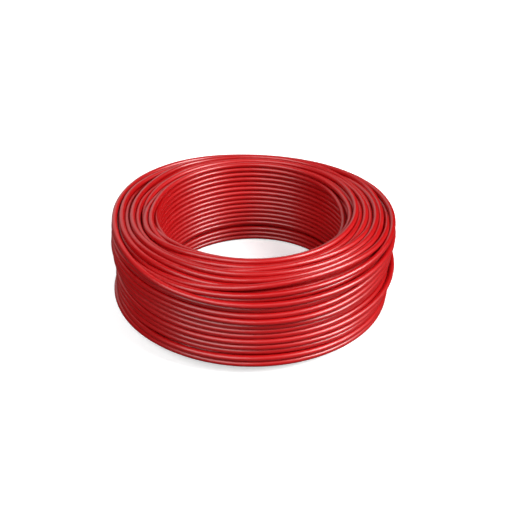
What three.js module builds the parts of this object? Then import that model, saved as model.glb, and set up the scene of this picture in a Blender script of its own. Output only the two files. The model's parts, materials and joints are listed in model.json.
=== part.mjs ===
// A coil of insulated building wire, wound without a spool: nine layers of turns, each over the last, and the
// wire's two free ends with the copper strands inside them. Each layer of turns is one grooved sleeve.
// Millimetres, +Z up. The origin is on the coil's axis, level with the lowest turns.
import * as THREE from "three";

// The wire: seven copper strands, six of them twisted round a straight one, inside a PVC covering.
const WIRE_D = 3.6;
const BORE_D = 2.3;
const STRAND_D = 0.67;
const STRAND_CIRCLE_R = 0.72; // from the wire's axis to the axis of each twisted strand
const STRAND_LAY = 40; // length of wire in which a twisted strand goes round once
const STRAND_PROUD = 0.6; // how far the cut strands stand out of the covering
const TWISTED_STRANDS = 6;

// The winding.
const HOLE_R = 62;
const LAYERS = 9;
const LAYER_STEP = 3.4; // under WIRE_D, because the turns bed into the grooves of the layer inside them
const HEIGHT = 18 * WIRE_D;
const INNER_ROUNDING = 1.5 * WIRE_D; // of the ring's corners, where the end turns sit back
const OUTER_ROUNDING = 11;
const LAYER_GAP = 0.8;
const OUTER_R = HOLE_R + (LAYERS - 1) * LAYER_STEP + WIRE_D;

// The free ends: the wire's first stretch lies against the wall of the hole, near the top, and its last stretch
// lies round the bottom of the outside, just below the outermost layer.
const END_ARC = THREE.MathUtils.degToRad(55);
const END_GAP = 0.3;
const INNER_END_ROOT = THREE.MathUtils.degToRad(335);
const INNER_END_DEPTH = 3 * WIRE_D; // of its axis below the top of the ring
const OUTER_END_ROOT = THREE.MathUtils.degToRad(80);

// How finely round things are drawn.
const RING_SIDES = 32;
const COVERING_STEPS = 14;
const COVERING_ARCS = 5; // per half circle
const STRAND_STEPS = 26;
const STRAND_ARCS = 3; // per half circle

const COVERING_MATERIAL = new THREE.MeshStandardMaterial({ color: 0xc81e24, roughness: 0.38, metalness: 0 });
const COPPER_MATERIAL = new THREE.MeshStandardMaterial({ color: 0xd98a5e, roughness: 0.35, metalness: 1 });

function layerRadius(layer) {
  return HOLE_R + WIRE_D / 2 + (layer - 1) * LAYER_STEP;
}

// How far a layer's end turns sit back from the ring's flat faces, because the ring's corners are rounded.
function endInset(radius) {
  const rounded = (rounding, past) => {
    const r = rounding - WIRE_D / 2;
    return past > 0 ? r - Math.sqrt(Math.max(0, r * r - past * past)) : 0;
  };
  return rounded(INNER_ROUNDING, HOLE_R + INNER_ROUNDING - radius)
    + rounded(OUTER_ROUNDING, radius - (OUTER_R - OUTER_ROUNDING));
}

// The side of a layer from zFrom to zTo, at radius x, with a groove between each two turns.
function groovedSide(x, grooveX, zFrom, zTo, halfWidth) {
  const turns = Math.round(Math.abs(zTo - zFrom) / WIRE_D);
  const way = Math.sign(zTo - zFrom);
  const points = [];
  for (let i = 1; i < turns; i++) {
    const z = zFrom + ((zTo - zFrom) * i) / turns;
    points.push([x, z - way * halfWidth], [grooveX, z], [x, z + way * halfWidth]);
  }
  return points;
}

// One layer of turns: a sleeve with chamfered ends, and grooves on the sides that show.
function windingLayer(layer) {
  const radius = layerRadius(layer);
  const hidden = (LAYER_STEP - LAYER_GAP) / 2; // half the sleeve's thickness, on a side that faces another layer
  const inner = radius - (layer === 1 ? WIRE_D / 2 : hidden);
  const outer = radius + (layer === LAYERS ? WIRE_D / 2 : hidden);
  const chamfer = hidden * (1 - Math.tan(Math.PI / 8)); // makes the end of the sleeve half an octagon
  const top = HEIGHT - endInset(radius);
  const bottom = layer === 1 ? 0 : endInset(radius); // the turns round the hole have slipped right down
  const outline = [
    [inner, bottom + chamfer],
    [inner + chamfer, bottom],
    [outer - chamfer, bottom],
    [outer, bottom + chamfer],
    ...(layer >= LAYERS - 1 ? groovedSide(outer, outer - chamfer, bottom, top, chamfer) : []),
    [outer, top - chamfer],
    [outer - chamfer, top],
    [inner + chamfer, top],
    [inner, top - chamfer],
    ...(layer === 1 ? groovedSide(inner, inner + chamfer, top, bottom, chamfer) : []),
  ].map(([x, z]) => new THREE.Vector2(x, z));
  outline.push(outline[0].clone());
  const sleeve = new THREE.Mesh(new THREE.LatheGeometry(outline, RING_SIDES), COVERING_MATERIAL);
  sleeve.name = `winding_layer_${layer}`;
  sleeve.rotation.x = Math.PI / 2; // a lathe turns its outline about Y
  return sleeve;
}

// A line along a free end, offset from the wire's axis and twisting round it. The end's own frame has its origin
// at the root, X away from the coil's axis and Y along the wire (way 1) or against it (way -1).
class EndLine extends THREE.Curve {
  constructor(bendR, way, length, offset = 0, phase = 0) {
    super();
    Object.assign(this, { bendR, way, length, offset, phase });
  }

  getPoint(t, target = new THREE.Vector3()) {
    const along = t * this.length;
    const round = along / this.bendR;
    const twist = this.phase + (2 * Math.PI * along) / STRAND_LAY;
    const r = this.bendR + this.offset * Math.cos(twist);
    return target.set(
      r * Math.cos(round) - this.bendR,
      this.way * r * Math.sin(round),
      this.offset * Math.sin(twist),
    );
  }
}

function disc(diameter) {
  return new THREE.Shape().absarc(0, 0, diameter / 2, 0, 2 * Math.PI);
}

function covering(line) {
  const section = disc(WIRE_D);
  section.holes.push(disc(BORE_D));
  return new THREE.ExtrudeGeometry(section, {
    steps: COVERING_STEPS,
    curveSegments: COVERING_ARCS,
    extrudePath: line,
  });
}

function strand(line) {
  return new THREE.ExtrudeGeometry(disc(STRAND_D), {
    steps: STRAND_STEPS,
    curveSegments: STRAND_ARCS,
    extrudePath: line,
  });
}

// A free end of the wire, curved to bendR: its covering, the straight strand and the twisted ones.
function freeEnd(name, bendR, way) {
  const group = new THREE.Group();
  const length = bendR * END_ARC;
  const add = (part, geometry, material) => {
    const mesh = new THREE.Mesh(geometry, material);
    mesh.name = `${name}_${part}`;
    group.add(mesh);
  };
  const strandLine = (offset, phase) => new EndLine(bendR, way, length + STRAND_PROUD, offset, phase);
  add("covering", covering(new EndLine(bendR, way, length)), COVERING_MATERIAL);
  add("centre_strand", strand(strandLine(0, 0)), COPPER_MATERIAL);
  for (let i = 0; i < TWISTED_STRANDS; i++) {
    const line = strandLine(STRAND_CIRCLE_R, (2 * Math.PI * i) / TWISTED_STRANDS);
    add(`twisted_strand_${i + 1}`, strand(line), COPPER_MATERIAL);
  }
  return group;
}

function place(group, radius, azimuth, z) {
  group.position.set(radius * Math.cos(azimuth), radius * Math.sin(azimuth), z);
  group.rotation.z = azimuth;
  return group;
}

const coil = new THREE.Group();
for (let layer = 1; layer <= LAYERS; layer++) coil.add(windingLayer(layer));

const flatsR = HOLE_R * Math.cos(Math.PI / RING_SIDES); // to the middle of the sides that the hole is drawn with
const innerEndR = flatsR - END_GAP - WIRE_D / 2;
coil.add(place(freeEnd("inner_end", innerEndR, -1), innerEndR, INNER_END_ROOT, HEIGHT - INNER_END_DEPTH));

const outerEndR = layerRadius(LAYERS);
const outerEndZ = endInset(outerEndR) - END_GAP - WIRE_D / 2;
coil.add(place(freeEnd("outer_end", outerEndR, 1), outerEndR, OUTER_END_ROOT, outerEndZ));

export default coil;
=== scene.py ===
"""A coil of red building wire, wound turn by turn around the hole. Each of its layers becomes a piece."""

import json
import math

import bpy
import numpy as np
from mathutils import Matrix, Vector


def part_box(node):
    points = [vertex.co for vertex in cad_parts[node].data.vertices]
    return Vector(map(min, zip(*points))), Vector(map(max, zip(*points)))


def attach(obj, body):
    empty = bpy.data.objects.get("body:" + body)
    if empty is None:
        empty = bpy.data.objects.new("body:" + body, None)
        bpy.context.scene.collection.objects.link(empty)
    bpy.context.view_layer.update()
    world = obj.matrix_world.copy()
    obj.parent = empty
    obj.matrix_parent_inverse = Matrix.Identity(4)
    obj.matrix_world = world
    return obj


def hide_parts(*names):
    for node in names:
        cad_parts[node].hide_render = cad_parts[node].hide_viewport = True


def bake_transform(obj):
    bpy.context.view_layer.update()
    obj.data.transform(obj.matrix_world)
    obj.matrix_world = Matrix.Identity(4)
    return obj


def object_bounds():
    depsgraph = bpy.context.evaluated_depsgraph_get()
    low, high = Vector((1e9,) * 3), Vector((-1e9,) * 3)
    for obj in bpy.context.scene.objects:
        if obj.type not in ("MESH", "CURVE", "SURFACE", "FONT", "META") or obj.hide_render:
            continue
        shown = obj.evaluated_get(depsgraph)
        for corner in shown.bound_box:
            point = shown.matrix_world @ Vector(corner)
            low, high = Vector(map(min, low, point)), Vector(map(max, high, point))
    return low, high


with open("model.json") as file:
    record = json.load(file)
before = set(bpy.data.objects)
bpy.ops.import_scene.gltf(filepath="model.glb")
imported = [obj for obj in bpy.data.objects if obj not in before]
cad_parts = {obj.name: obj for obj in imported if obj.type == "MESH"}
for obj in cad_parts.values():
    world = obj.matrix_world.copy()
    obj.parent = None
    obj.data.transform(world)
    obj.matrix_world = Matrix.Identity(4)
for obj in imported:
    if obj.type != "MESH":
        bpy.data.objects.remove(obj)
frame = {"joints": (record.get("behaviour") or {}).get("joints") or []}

cad_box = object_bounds()

TURN = 2 * math.pi

# The wire.
WIRE_D = 0.0036
BORE_D = 0.0023
STRAND_D = 0.00067
STRAND_CIRCLE_R = 0.00072  # from the wire's axis to the axis of each twisted strand
STRAND_LAY = 0.040  # length of wire in which a twisted strand goes round once
STRAND_PROUD = 0.0006  # how far the cut strands stand out of the covering
TWISTED_STRANDS = 6

# The coil. Its layers are numbered from 0 in the winding and from 1 in the names of the pieces.
HOLE_R = 0.062
END_ARC = math.radians(55)  # that each free end lies round
LAYERS = 9
TIGHT_LAYERS = 3  # from the hole outwards; the others lie looser and looser
LAYER_STEP = 0.0033  # from one layer's radius to the next one's, where the turns have bedded in

# The winding is worked out at STATIONS cross-sections a turn, each a set of (radius, height) points.
STATIONS = 96
REACH = 44  # earlier turns that a new one can touch
FAR = 10.0  # the radius given to turns that are not there
SEED = 14

# How the wire is led.
LEAD_IN = 0.3  # turns in which the wire reaches the place where a layer starts
LAYER_CHANGE = 0.55  # turns from the last one of a layer to the first one of the next
LEAD_OUT = 0.4  # turns in which the wire leaves the last layer for its outer end
TIGHT_PITCH = 1.005  # how many times its thickness the wire advances in a turn
TIGHT_UNSTEADINESS = 0.00005  # how far it strays up and down

# The same for the outermost layer; these fade to nothing towards the tight ones.
OPENNESS = 0.16  # what is added to the pitch
UNSTEADINESS = 0.0016  # and to how far it strays
LOW_UNEVENNESS, HIGH_UNEVENNESS = 0.002, 0.004  # how far short of the ring's faces it may end
PINCH = 0.16  # how much nearer the waist the turns come front and back, and stay away from it at the sides

# How slack the wire is, as the distance that it stands off the turns under it.
LOOSE_SLACK = 0.0010
BULGE_SLACK = 0.0006  # above and below the waist
DRAWN_IN = 0.0005  # and how much of both is taken up everywhere
TOP_SLACK = 0.001  # of the top turns
WAIST = 0.028  # the height at which the outside is narrowest
BULGE_HEIGHT = 0.038
UPPER_BULGE, LOWER_BULGE = math.radians(0), math.radians(215)  # azimuths at which the outside stands out most

# The lowest turns round the hole, which have slipped.
SLIPPED_TURNS = 2
SLIP = 0.003  # how far they have dropped away from the ones above
SAG = 0.0010  # and how far they stand into the hole

# Turns that cross their neighbours: the layer, the crossing's height and azimuth (degrees), and its rise.
HOPS = (
    (9, 0.024, 335, 0.008),
)

# How the wire finds its place.
SHIFTS = np.arange(-14, 15) * 0.0005  # how far from where it is led it may find a place to lie
CLIMB_LIMIT = 0.0006  # how much that may change from one station to the next
PILE_ALLOWED = 0.0015  # how far outside its layer's radius the wire may lie without being piled up
STIFFNESS = 0.5  # the share of its bend that it loses in a step
TENSION = 0.00005  # how far it is drawn in
LEAD = 0.05  # the share of the way to where it is led that it moves
MM = 1000  # in a metre

# The meshes.
SAMPLES = 2  # rings of a tube's mesh per station
SIDES = 14
STRAND_SIDES = 10
SHARP = math.radians(50)  # edges that turn more than this are not smoothed over
RUN_IN = 0.05  # turns of wire before an end's root that belong to the end's own piece


# ----------------------------------------------------------------------------------------------------------
# The winding
# ----------------------------------------------------------------------------------------------------------

def joint_place(name):
    """Radius, azimuth and height of a hinge's axis at the wire."""
    x, y, z = next(j for j in frame["joints"] if j["name"] == name)["pos_m"]
    return math.hypot(x, y), math.atan2(y, x) % TURN, z


def smoothstep(t):
    t = np.clip(t, 0, 1)
    return t * t * (3 - 2 * t)


def wander(rng, turns):
    """A smooth random function of the number of turns, about one high, with waves from half a turn up."""
    waves = (0.45, 0.8, 1.3, 2.6)  # turns
    spare_knots = 8
    total = np.zeros_like(turns)
    for wave in waves:
        knots = rng.normal(size=int(turns.max() / wave) + spare_knots)
        place = turns / wave + rng.uniform(0, 1)
        before = place.astype(int)
        total += knots[before] + (knots[before + 1] - knots[before]) * smoothstep(place - before)
    return total / math.sqrt(len(waves))


class Guide:
    """Where the winder leads the wire, at every station from the inner end's tip on: at is the number of turns up
    to the station, layer the layer it is in, loose how loosely that one is wound (0 to 1), z the height that the
    wire is led to, slack the distance that it stands off the turns under it, and slipped the share of SLIP that
    it has dropped."""

    def __init__(self, rng):
        self.inner_r, inner_root, self.inner_z = joint_place("inner_end_bend")
        self.outer_r, outer_root, self.outer_z = joint_place("outer_end_bend")
        self.start = inner_root - END_ARC
        self.inner_root = END_ARC / TURN
        # Each knot is a turn, a height, a layer and its looseness.
        knots = [(0, self.inner_z, 0, 0), (self.inner_root, self.inner_z, 0, 0)]
        behind = (0.25 - self.start / TURN) % 1  # how much of a turn takes the wire from its start to the back
        before_back, drop_turns, rise_turns = 0.7, 0.4, 0.5  # of the slipped turns
        turn = self.inner_root + LEAD_IN
        starts = []
        for layer in range(LAYERS):
            low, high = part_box(f"winding_layer_{layer + 1}")
            loose = max(0, layer + 1 - TIGHT_LAYERS) / (LAYERS - TIGHT_LAYERS)
            bottom = low.z + WIRE_D / 2 + rng.uniform(0, LOW_UNEVENNESS) * loose + SLIP * (layer == 0)
            top = high.z - WIRE_D / 2 - rng.uniform(0, HIGH_UNEVENNESS) * loose
            pitch = WIRE_D * (TIGHT_PITCH + OPENNESS * loose ** 2)
            ends = (top, bottom) if layer % 2 == 0 else (bottom, top)
            starts.append(turn - LEAD_IN)
            knots.append((turn, ends[0], layer, loose))
            turn += (top - bottom) / pitch
            if layer == LAYERS - 1:
                outer_turn = (outer_root - self.start) / TURN % 1
                self.outer_root = math.ceil(turn + LEAD_OUT - outer_turn) + outer_turn
                turn = self.outer_root - LEAD_OUT
            knots.append((turn, ends[1], layer, loose))
            if layer == 0:
                slip_start = math.floor(turn - SLIPPED_TURNS) + behind - before_back
                slip_stop = turn
            turn += LAYER_CHANGE
        self.turns = self.outer_root + END_ARC / TURN
        knots += [(self.outer_root, self.outer_z, layer, 0), (self.turns, self.outer_z, layer, 0)]
        at, z, _, loose = (np.array(column, float) for column in zip(*knots))
        self.at = np.arange(int(round(self.turns * STATIONS)) + 1) / STATIONS
        self.loose = np.interp(self.at, at, loose)
        self.layer = np.searchsorted(starts, self.at, side="right").clip(1) - 1
        self.slipped = smoothstep((self.at - slip_start) / drop_turns)
        self.slipped -= smoothstep((self.at - slip_stop) / rise_turns)
        self.z = np.interp(self.at, at, z) - SLIP * self.slipped
        unsteadiness = TIGHT_UNSTEADINESS + UNSTEADINESS * self.loose ** 1.3
        self.z += unsteadiness * wander(rng, self.at) * (self.loose > 0)
        azimuth = self.start + TURN * self.at
        self.z -= PINCH * self.loose ** 2 * np.cos(2 * azimuth) * (WAIST - self.z)
        self.slack = self.drawn_slack(rng, azimuth)
        clearance = 1.1 * WIRE_D
        kept_free = self.crosses_end(np.arange(len(self.at))) & (self.layer == LAYERS - 1)
        self.z[kept_free] = np.maximum(self.z[kept_free], self.outer_z + clearance)
        for layer, height, azimuth, rise in HOPS:
            self.hop(layer, height, math.radians(azimuth), rise)

    def drawn_slack(self, rng, azimuth):
        """Random slack, with more of it in the bulges above and below the waist and in the top turns."""
        top_from, top_over, top_threshold, one_sidedness = 0.050, 0.008, 0.2, 0.8
        bulge = np.sin(math.pi * (self.z - WAIST) / BULGE_HEIGHT) ** 2
        bulge *= 1 + one_sidedness * np.cos(azimuth - np.where(self.z > WAIST, UPPER_BULGE, LOWER_BULGE))
        slack = LOOSE_SLACK * np.maximum(0, wander(rng, self.at)) + BULGE_SLACK * bulge - DRAWN_IN
        near_top = smoothstep((self.z - top_from) / top_over) * (self.loose > 0)
        top_slack = TOP_SLACK * near_top * np.maximum(0, wander(rng, self.at) - top_threshold)
        return np.maximum(0, self.loose ** 2 * slack) + top_slack

    def crosses_end(self, stations):
        """Whether the wire's own last stretch will later lie at the azimuth of each of these stations."""
        before_root, end_margin, last_turns = 0.04, 0.05, 0.3
        past_root = (stations / STATIONS - self.outer_root + before_root) % 1
        at_end = past_root < self.turns - self.outer_root + end_margin
        return at_end & (stations / STATIONS < self.outer_root - last_turns)

    def hop(self, layer, height, azimuth, rise):
        """Leads one turn of a layer up across its neighbours at azimuth, and back down soon after."""
        up_turns, apart, down_turns = 0.16, 0.2, 0.2
        inside = np.flatnonzero(self.layer == layer - 1)
        near = inside[np.argmin(np.abs(self.z[inside] - height))]
        turn = round(near / STATIONS + (self.start - azimuth) / TURN) + (azimuth - self.start) / TURN
        up = smoothstep((self.at - turn) / up_turns + 0.5)
        down = smoothstep((self.at - turn - apart) / down_turns + 0.5)
        self.z += rise * (up - down)


def pushed_out(points, others):
    """points moved clear of the nearest of the others at their own station, as the wire is WIRE_D thick."""
    away = points[:, None, :] - others
    distance = np.hypot(away[..., 0], away[..., 1])
    closest = distance.argmin(1)
    rows = np.arange(len(points))
    distance = np.maximum(distance[rows, closest], 1e-9)
    push = np.maximum(0, WIRE_D - distance) / distance
    return points + away[rows, closest] * push[:, None]


def nearest(points, others, keep):
    """Which of the others, the keep nearest ones of each point's row."""
    distance = np.hypot(*np.moveaxis(points[:, None, :] - others, -1, 0))
    return np.argpartition(distance, keep, axis=1)[:, :keep]


def rest_radius(z, others, mandrel_r):
    """The smallest radius where wire at height z lies on the mandrel or on the turns already there."""
    dz = z[:, None] - others[..., 1]
    over = np.sqrt(np.maximum(0, WIRE_D ** 2 - dz ** 2))
    radius = np.where(np.abs(dz) < WIRE_D, others[..., 0] + over, 0).max(1)
    return np.maximum(radius, mandrel_r)


def lying_heights(wanted, loose, others, mandrel_r, layer_r, low, high, shift):
    """Heights near the wanted ones at which the wire lies deepest, as a path that starts out shifted by shift.
    It is the cheapest path: what costs is to lie far out, piled up or shifted, and to change the shift."""
    tight_cost, loose_cost, change_cost, start_cost, never = 0.15, 0.35, 300, 4000, 1e6
    heights = np.clip(wanted[:, None] + SHIFTS, low, high)
    count, choices = heights.shape
    radius = rest_radius(heights.ravel(), others.repeat(choices, axis=0), mandrel_r).reshape(count, choices)
    piled = np.maximum(0, radius - layer_r[:, None] - PILE_ALLOWED) * MM
    cost = radius * MM + piled ** 2 + (tight_cost + loose_cost * loose[:, None]) * (SHIFTS * MM) ** 2
    change = np.abs(SHIFTS[:, None] - SHIFTS)
    step = np.where(change < CLIMB_LIMIT, change * change_cost, never)
    total = np.abs(SHIFTS - shift) * start_cost
    came_from = np.zeros((count, choices), int)
    for i in range(count):
        through = total[:, None] + step
        came_from[i] = through.argmin(0)
        total = through.min(0) + cost[i]
    path = [total.argmin()]
    for i in range(count - 1, 0, -1):
        path.append(came_from[i][path[-1]])
    path.reverse()
    return heights[np.arange(count), path]


def wind(guide):
    """Lays the wire down half a turn at a time: it is drawn in by its tension, straightened by its stiffness, led
    by the guide and held off by the turns under it. Returns the (radius, height) of every station."""
    neighbours, steps, ending_steps, rise_turns = 12, 50, 90, 0.27
    mandrel_r = HOLE_R + WIRE_D / 2
    low, high = WIRE_D / 2, cad_box[1][2] - WIRE_D / 2
    count = len(guide.at)
    before = REACH * STATIONS
    placed = np.full((before + count, 2), FAR)
    root = int(guide.inner_root * STATIONS)
    rise = root + int(rise_turns * STATIONS)
    climb = (np.arange(rise + 1) - root) / (rise - root)
    outwards = (mandrel_r - guide.inner_r) * smoothstep(climb * 1.33 - 0.33)
    upwards = (guide.z[rise] - guide.inner_z) * smoothstep(climb * 1.4)
    placed[before:before + rise + 1] = np.column_stack([guide.inner_r + outwards, guide.inner_z + upwards])
    taut = placed.copy()
    turns_back = STATIONS * np.arange(1, REACH + 1)
    done = rise + 1
    while done < count:
        stop = min(done + STATIONS // 2, count)
        moving = np.arange(max(rise + 1, done - STATIONS // 4), stop)
        under = placed[before + moving[:, None] - turns_back]
        held = taut[before + moving[0] - 1]
        shift = held[1] - guide.z[moving[0] - 1]
        layer_r = mandrel_r + LAYER_STEP * guide.layer[moving]
        wanted, loose = guide.z[moving], guide.loose[moving]
        aim_z = lying_heights(wanted, loose, under, mandrel_r, layer_r, low, high, shift)
        wire = np.column_stack([rest_radius(aim_z, under, mandrel_r), aim_z])
        under[guide.crosses_end(moving), -1] = (guide.outer_r, guide.outer_z)
        under = np.take_along_axis(under, nearest(wire, under, neighbours)[..., None], axis=1)
        ending = moving >= guide.outer_root * STATIONS
        for step in range(ending_steps if ending.any() else steps):
            line = np.vstack([held, wire, 2 * wire[-1] - wire[-2]])
            wire = wire + STIFFNESS * ((line[:-2] + line[2:]) / 2 - wire)
            wire[:, 0] -= TENSION
            wire[:, 1] += LEAD * (aim_z - wire[:, 1])
            wire = pushed_out(pushed_out(wire, under), under)
            wire[:, 0] = np.maximum(wire[:, 0], mandrel_r)
            wire[:, 1] = np.clip(wire[:, 1], low, high)
            wire[ending] = (guide.outer_r, guide.outer_z)
        taut[before + moving] = wire
        slack = wire + np.column_stack([guide.slack[moving], np.zeros(len(moving))])
        placed[before + moving] = pushed_out(pushed_out(slack, under), under)
        done = stop
    placed[before:, 0] -= SAG * guide.slipped
    return evened(placed[before:], guide, low, high)


def evened(section, guide, low, high):
    """The finished winding with its sharp bends eased, every turn still clear of the others."""
    steps, easing_steps, renewal, neighbours, held_turns = 60, 40, 10, 10, 0.1
    count = len(section)
    free = np.arange(count)
    first, last = guide.inner_root + held_turns, guide.outer_root - held_turns
    free = free[(free > first * STATIONS) & (free < last * STATIONS)]
    padded = np.full((count + 2 * REACH * STATIONS, 2), FAR)
    middle = slice(REACH * STATIONS, REACH * STATIONS + count)
    turns_off = STATIONS * np.concatenate([np.arange(-REACH, 0), np.arange(1, REACH + 1)])
    padded[middle] = section
    for step in range(steps):
        if step % renewal == 0:
            others = free[:, None] + turns_off + REACH * STATIONS
            others = np.take_along_axis(others, nearest(section[free], padded[others], neighbours), axis=1)
        if step < easing_steps:
            section[free] += 0.5 * ((section[free - 1] + section[free + 1]) / 2 - section[free])
        for push in range(2):
            padded[middle] = section
            section[free] += 0.5 * (pushed_out(section[free], padded[others]) - section[free])
            section[free, 1] = np.clip(section[free, 1], low, high)
    return section


def centreline(guide, section, first, last):
    """Points of the wire's axis from turn number first to last, and the turn number of each one."""
    count = max(2, int(round((last - first) * STATIONS * SAMPLES)) + 1)
    turns = np.linspace(first, last, count)
    place = turns * STATIONS
    i = np.clip(place.astype(int), 0, len(section) - 2)
    f = (place - i)[:, None]
    p0, p1, p2, p3 = (section[np.clip(i + k, 0, len(section) - 1)] for k in (-1, 0, 1, 2))
    smooth = p1 + 0.5 * f * (p2 - p0 + f * (2 * p0 - 5 * p1 + 4 * p2 - p3 + f * (3 * (p1 - p2) + p3 - p0)))
    azimuth = guide.start + TURN * turns
    line = np.column_stack([smooth[:, 0] * np.cos(azimuth), smooth[:, 0] * np.sin(azimuth), smooth[:, 1]])
    return line, turns


# ----------------------------------------------------------------------------------------------------------
# Tubes
# ----------------------------------------------------------------------------------------------------------

def cross_frame(line):
    """Unit vectors along the line, away from the coil's axis and across both, at each point."""
    along = np.gradient(line, axis=0)
    along /= np.linalg.norm(along, axis=1)[:, None]
    outward = line * (1, 1, 0)
    outward -= along * (outward * along).sum(1)[:, None]
    outward /= np.linalg.norm(outward, axis=1)[:, None]
    return along, outward, np.cross(along, outward)


def tube_rings(line, radius, sides):
    _, outward, across = cross_frame(line)
    angle = TURN * np.arange(sides) / sides
    ring = np.cos(angle)[None, :, None] * outward[:, None] + np.sin(angle)[None, :, None] * across[:, None]
    return line[:, None] + radius * ring


def wall_faces(rings, sides, first=0, flip=False):
    """The quads between successive rings of a tube."""
    i = np.arange(rings - 1)[:, None] * sides + first
    k = np.arange(sides)[None]
    after = (k + 1) % sides
    corners = [i + k, i + after, i + sides + after, i + sides + k]
    if flip:
        corners.reverse()
    return np.stack(corners, -1).reshape(-1, 4)


def end_caps(rings, sides):
    """The two flat ends of a tube."""
    last = (rings - 1) * sides
    return [list(range(sides))[::-1], list(range(last, last + sides))]


def new_piece(name, points, quads, polygons, material):
    mesh = bpy.data.meshes.new(name)
    mesh.from_pydata(points.reshape(-1, 3).tolist(), [], quads.tolist() + polygons)
    mesh.polygons.foreach_set("use_smooth", np.ones(len(mesh.polygons), bool))
    mesh.set_sharp_from_angle(angle=SHARP)
    mesh.materials.append(material)
    piece = bpy.data.objects.new(name, mesh)
    bpy.context.scene.collection.objects.link(piece)
    return piece


def lengths(line):
    """How far along a line each of its points is."""
    return np.concatenate([[0], np.cumsum(np.linalg.norm(np.diff(line, axis=0), axis=1))])


def wire_uvs(piece, line, sides, radius, start=0.0):
    """Two UV maps: Wire is metres along the wire and the share of the way round it, and OFBake is the wire cut
    into strips that lie side by side, with a corner kept for the faces that are not on its outside."""
    strips_width, strip_margin, corner_u, corner_r = 0.955, 0.03, 0.985, 0.01
    mesh = piece.data
    length = lengths(line)
    ring = np.arange(len(line) - 1).repeat(sides)
    side = np.tile(np.arange(sides), len(line) - 1)
    corner_length = length[np.stack([ring, ring, ring + 1, ring + 1], -1)]
    corner_side = np.stack([side, side + 1, side + 1, side], -1) / sides
    outside = corner_side.size
    wire = np.full((len(mesh.loops), 2), 0.5)
    wire[:outside, 0] = start + corner_length.ravel()
    wire[:outside, 1] = corner_side.ravel()
    wire[outside:, 0] = start
    mesh.uv_layers.new(name="Wire").data.foreach_set("uv", wire.ravel())
    strips = max(1, round(math.sqrt(length[-1] / (TURN * radius))))
    strip_length = length[-1] / strips
    strip = (length[ring] / strip_length).astype(int)[:, None]
    bake = np.empty((len(mesh.loops), 2))
    bake[:outside, 0] = (strips_width * (corner_length / strip_length - strip)).ravel()
    bake[:outside, 1] = ((strip + strip_margin + (1 - 2 * strip_margin) * corner_side) / strips).ravel()
    for face in range(outside // 4, len(mesh.polygons)):
        loops = mesh.polygons[face].loop_indices
        angle = TURN * np.arange(len(loops)) / len(loops)
        bake[loops, 0] = corner_u + corner_r * np.cos(angle)
        bake[loops, 1] = 0.5 + corner_r * np.sin(angle)
    mesh.uv_layers.new(name="OFBake").data.foreach_set("uv", bake.ravel())


def solid_wire(name, line, turns, material):
    points = tube_rings(line, WIRE_D / 2, SIDES)
    quads = wall_faces(len(line), SIDES)
    piece = new_piece(name, points, quads, end_caps(len(line), SIDES), material)
    wire_uvs(piece, line, SIDES, WIRE_D / 2, turns[0] * TURN * HOLE_R)
    return piece


def hollow_wire(name, line, turns, material):
    """The covering alone, open at both ends."""
    points = np.concatenate([tube_rings(line, WIRE_D / 2, SIDES), tube_rings(line, BORE_D / 2, SIDES)])
    count = len(line)
    inner = count * SIDES
    walls = np.concatenate([wall_faces(count, SIDES), wall_faces(count, SIDES, inner, flip=True)])
    k = np.arange(SIDES)
    after = (k + 1) % SIDES
    last = (count - 1) * SIDES
    near = np.stack([k, inner + k, inner + after, after], -1)
    far = np.stack([last + k, last + after, inner + last + after, inner + last + k], -1)
    piece = new_piece(name, points, np.concatenate([walls, near, far]), [], material)
    wire_uvs(piece, line, SIDES, WIRE_D / 2, turns[0] * TURN * HOLE_R)
    return piece


def strand(name, line, offset, phase, material):
    """One copper strand that twists round the wire's axis line."""
    _, outward, across = cross_frame(line)
    twist = phase + TURN * lengths(line) / STRAND_LAY
    path = line + offset * (np.cos(twist)[:, None] * outward + np.sin(twist)[:, None] * across)
    points = tube_rings(path, STRAND_D / 2, STRAND_SIDES)
    caps = end_caps(len(line), STRAND_SIDES)
    piece = new_piece(name, points, wall_faces(len(line), STRAND_SIDES), caps, material)
    wire_uvs(piece, path, STRAND_SIDES, STRAND_D / 2)
    return piece


# ----------------------------------------------------------------------------------------------------------
# Materials
# ----------------------------------------------------------------------------------------------------------

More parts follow.
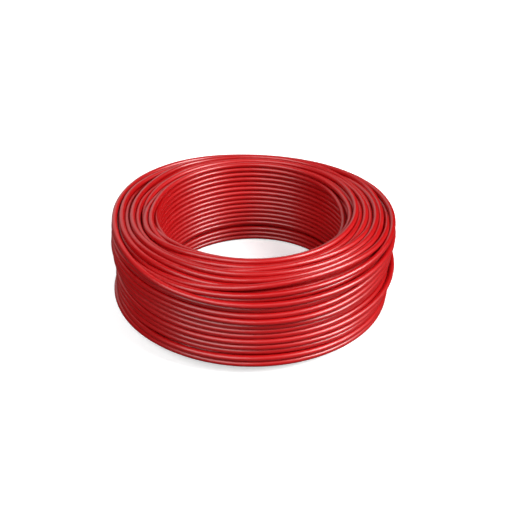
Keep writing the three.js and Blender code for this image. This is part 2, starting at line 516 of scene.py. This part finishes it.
class Nodes:
    """A material's node tree, with a short way to add and join nodes."""

    def __init__(self, name):
        self.material = bpy.data.materials.new(name)
        self.material.use_nodes = True
        self.tree = self.material.node_tree
        self.surface = self.tree.nodes["Principled BSDF"]

    def add(self, kind, inputs=(), **settings):
        node = self.tree.nodes.new(kind)
        for key, value in settings.items():
            setattr(node, key, value)
        for key, value in dict(inputs).items():
            if isinstance(value, bpy.types.NodeSocket):
                self.tree.links.new(value, node.inputs[key])
            else:
                node.inputs[key].default_value = value
        return node

    def math(self, operation, a, b=0.0):
        return self.add("ShaderNodeMath", {0: a, 1: b}, operation=operation).outputs[0]

    def wire_place(self):
        """A 3-D place on the wire laid out straight: metres along it, and the surface's place round it."""
        uv = self.add("ShaderNodeUVMap", uv_map="Wire").outputs[0]
        parts = self.add("ShaderNodeSeparateXYZ", {0: uv})
        angle = self.math("MULTIPLY", parts.outputs[1], TURN)
        y = self.math("MULTIPLY", self.math("COSINE", angle), WIRE_D / 2)
        z = self.math("MULTIPLY", self.math("SINE", angle), WIRE_D / 2)
        return self.add("ShaderNodeCombineXYZ", {0: parts.outputs[0], 1: y, 2: z}).outputs[0]

    def noise(self, place, scale, detail=2.0, roughness=0.5):
        """Noise with its own scale along each axis of place."""
        scaled = self.add("ShaderNodeVectorMath", {0: place, 1: scale}, operation="MULTIPLY").outputs[0]
        return self.add("ShaderNodeTexNoise", {"Vector": scaled, "Scale": 1.0, "Detail": detail,
                                               "Roughness": roughness}).outputs[0]

    def spread(self, value, low, high, to_low=0.0, to_high=1.0):
        return self.add("ShaderNodeMapRange", {"Value": value, "From Min": low, "From Max": high,
                                               "To Min": to_low, "To Max": to_high}).outputs[0]

    def mix(self, share, a, b):
        node = self.add("ShaderNodeMix", data_type="RGBA")
        for socket, value in ((node.inputs[0], share), (node.inputs[6], a), (node.inputs[7], b)):
            if isinstance(value, bpy.types.NodeSocket):
                self.tree.links.new(value, socket)
            else:
                socket.default_value = value
        return node.outputs[2]

    def set(self, key, value):
        if isinstance(value, bpy.types.NodeSocket):
            self.tree.links.new(value, self.surface.inputs[key])
        else:
            self.surface.inputs[key].default_value = value


def pvc():
    """Extruded PVC: a soft sheen under a glossy skin, with faint lines from the die, cloudy patches and scuffs."""
    dark_red, light_red = (0.36, 0.0006, 0.0012, 1), (0.44, 0.0010, 0.0020, 1)
    other_batch_red, scuffed_red = (0.40, 0.0006, 0.0020, 1), (0.60, 0.05, 0.05, 1)
    smoothest, roughest = 0.33, 0.41
    n = Nodes("red_pvc")
    place = n.wire_place()
    cloud = n.noise(place, (9, 300, 300), detail=3)
    batch = n.noise(place, (0.7, 20, 20), detail=1)
    lines = n.noise(place, (14, 3200, 3200), detail=2)
    grain = n.noise(place, (900, 1500, 1500), detail=2)
    scuffs = n.spread(n.noise(place, (70, 500, 500), detail=4, roughness=0.65), 0.62, 0.74)
    tone = n.mix(n.spread(cloud, 0.3, 0.7), dark_red, light_red)
    tone = n.mix(n.spread(batch, 0.35, 0.65, 0, 0.35), tone, other_batch_red)
    tone = n.mix(n.math("MULTIPLY", scuffs, 0.18), tone, scuffed_red)
    n.set("Base Color", tone)
    rough = n.math("ADD", n.spread(cloud, 0.3, 0.7, smoothest, roughest), n.math("MULTIPLY", scuffs, 0.18))
    n.set("Roughness", n.math("ADD", rough, n.spread(lines, 0.3, 0.7, -0.03, 0.03)))
    height = n.math("ADD", n.math("MULTIPLY", lines, 0.7), n.math("MULTIPLY", grain, 0.3))
    bump = n.add("ShaderNodeBump", {"Height": height, "Strength": 0.15, "Distance": 0.00002})
    n.set("Normal", bump.outputs[0])
    n.set("Specular IOR Level", 0.6)
    n.set("Coat Weight", 0.25)
    n.set("Coat Roughness", 0.14)
    return n.material


def copper():
    """Bare drawn copper: bright, with fine lines along the strand and a slight tarnish."""
    bright, tarnished = (0.93, 0.46, 0.28, 1), (0.62, 0.25, 0.12, 1)
    n = Nodes("copper")
    place = n.wire_place()
    lines = n.noise(place, (60, 9000, 9000), detail=2)
    tarnish = n.noise(place, (400, 900, 900), detail=3)
    n.set("Base Color", n.mix(n.spread(tarnish, 0.35, 0.7), bright, tarnished))
    n.set("Metallic", 1.0)
    n.set("Roughness", n.spread(tarnish, 0.3, 0.7, 0.22, 0.38))
    bump = n.add("ShaderNodeBump", {"Height": lines, "Strength": 0.3, "Distance": 0.00001})
    n.set("Normal", bump.outputs[0])
    return n.material


def floor_paint():
    """White where the camera sees it, with a glow that grows away from the coil, but dark to the coil itself,
    which it would otherwise light too much from below."""
    seen_grey, lighting_grey = (0.93, 0.93, 0.93, 1), (0.05, 0.05, 0.05, 1)
    glow_from, glow_full, least_glow = 0.05, 0.50, 0.3  # the first two are metres from the middle
    n = Nodes("pale_floor")
    seen = n.add("ShaderNodeLightPath").outputs["Is Camera Ray"]
    n.set("Base Color", n.mix(seen, lighting_grey, seen_grey))
    n.set("Roughness", 0.7)
    place = n.add("ShaderNodeNewGeometry").outputs["Position"]
    away = n.add("ShaderNodeVectorMath", {0: place}, operation="LENGTH").outputs["Value"]
    n.set("Emission Color", (1, 1, 1, 1))
    glow = n.spread(away, glow_from, glow_full, least_glow, 1.0)
    n.set("Emission Strength", n.math("MULTIPLY", seen, glow))
    return n.material


# ----------------------------------------------------------------------------------------------------------
# The coil
# ----------------------------------------------------------------------------------------------------------

def build_layers(guide, section, red):
    """A piece for each layer, which meets the next one end to end."""
    seams = [guide.inner_root + RUN_IN]
    for layer in range(1, LAYERS):
        seams.append(np.argmax(guide.layer == layer) / STATIONS)
    seams.append(guide.outer_root - RUN_IN)
    for layer in range(LAYERS):
        line, turns = centreline(guide, section, seams[layer], seams[layer + 1])
        piece = solid_wire(f"layer_{layer + 1}_turns", line, turns, red)
        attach(piece, "coil")
        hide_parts(f"winding_layer_{layer + 1}")


def build_end(guide, section, end, first, last, tip_is_last, red, metal):
    """An end of the wire: its covering and the strands in it, which stand a little out of the cut tip."""
    line, turns = centreline(guide, section, first, last)
    covering = hollow_wire(f"{end}_insulation", line, turns, red)
    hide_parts(f"{end}_covering")
    root = guide.outer_root if tip_is_last else guide.inner_root
    tipward = 1 if tip_is_last else -1
    middle = int(np.argmin(np.abs(turns - root)))
    heading = (line[middle + 1] - line[middle - 1]) * tipward
    heading /= np.linalg.norm(heading)
    cut, before_cut = (line[-1], line[-2]) if tip_is_last else (line[0], line[1])
    tip = cut + (cut - before_cut) * STRAND_PROUD / np.linalg.norm(cut - before_cut)
    core = np.vstack([line, tip] if tip_is_last else [tip, line])
    pieces = [covering, strand(f"{end}_middle_strand", core, 0, 0, metal)]
    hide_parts(f"{end}_centre_strand")
    for i in range(TWISTED_STRANDS):
        phase = TURN * i / TWISTED_STRANDS
        pieces.append(strand(f"{end}_strand_{i + 1}", core, STRAND_CIRCLE_R, phase, metal))
        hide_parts(f"{end}_twisted_strand_{i + 1}")
    for piece in pieces:
        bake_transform(piece)


def build_stage():
    """A wide floor under an even white sky, which lights the coil only faintly."""
    floor_size, sky_seen, sky_light = 6, 1.0, 0.012
    bpy.ops.mesh.primitive_plane_add(size=floor_size)
    floor = bpy.context.object
    floor.name = "floor"
    floor.data.materials.append(floor_paint())
    world = bpy.data.worlds.new("studio")
    bpy.context.scene.world = world
    world.use_nodes = True
    tree = world.node_tree
    seen = tree.nodes.new("ShaderNodeLightPath").outputs["Is Camera Ray"]
    strength = tree.nodes.new("ShaderNodeMapRange")
    strength.inputs["To Min"].default_value = sky_light
    strength.inputs["To Max"].default_value = sky_seen
    tree.links.new(seen, strength.inputs["Value"])
    tree.links.new(strength.outputs[0], tree.nodes["Background"].inputs["Strength"])
    tree.nodes["Background"].inputs["Color"].default_value = (1, 1, 1, 1)


def aim(thing, target):
    direction = (target - thing.location).normalized()
    thing.rotation_euler = direction.to_track_quat("-Z", "Y").to_euler()


def look_from(target, azimuth, elevation, distance):
    """The place this far from the target, azimuth radians to the right of its front and elevation above it."""
    right, back = math.sin(azimuth) * math.cos(elevation), -math.cos(azimuth) * math.cos(elevation)
    return target + distance * type(target)((right, back, math.sin(elevation)))


def softbox(name, target, azimuth, elevation, distance, size, watts):
    """A square lamp that lights the target. azimuth is degrees to the right of the front."""
    light = bpy.data.lights.new(name, "AREA")
    light.shape = "SQUARE"
    light.size, light.energy = size, watts
    lamp = bpy.data.objects.new(name, light)
    bpy.context.scene.collection.objects.link(lamp)
    lamp.location = look_from(target, math.radians(azimuth), math.radians(elevation), distance)
    aim(lamp, target)


def build_camera(target):
    elevation, distance = math.radians(31.8), 0.479
    sensor_mm, lens_mm, shift_x, shift_y = 36, 49.6, 0.006, -0.02
    camera = bpy.data.objects.new("camera", bpy.data.cameras.new("camera"))
    bpy.context.scene.collection.objects.link(camera)
    camera.location = look_from(target, 0, elevation, distance)
    aim(camera, target)
    camera.data.sensor_width = sensor_mm
    camera.data.lens = lens_mm
    camera.data.shift_x = shift_x
    camera.data.shift_y = shift_y
    bpy.context.scene.camera = camera


def main():
    rng = np.random.default_rng(SEED)
    guide = Guide(rng)
    section = wind(guide)
    red, metal = pvc(), copper()
    build_layers(guide, section, red)
    build_end(guide, section, "inner_end", 0, guide.inner_root + RUN_IN, False, red, metal)
    build_end(guide, section, "outer_end", guide.outer_root - RUN_IN, guide.turns, True, red, metal)
    build_stage()
    low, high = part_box("winding_layer_5")
    middle = (low + high) / 2
    softbox("key", middle, azimuth=67, elevation=38, distance=1.0, size=0.5, watts=12.5)
    softbox("back", middle, azimuth=205, elevation=22, distance=1.3, size=1.4, watts=4)
    softbox("fill", middle, azimuth=-30, elevation=40, distance=1.2, size=1.0, watts=10)
    build_camera(middle)
    bpy.context.scene.view_settings.view_transform = "Standard"
    bpy.context.scene.view_settings.exposure = 0.3


main()
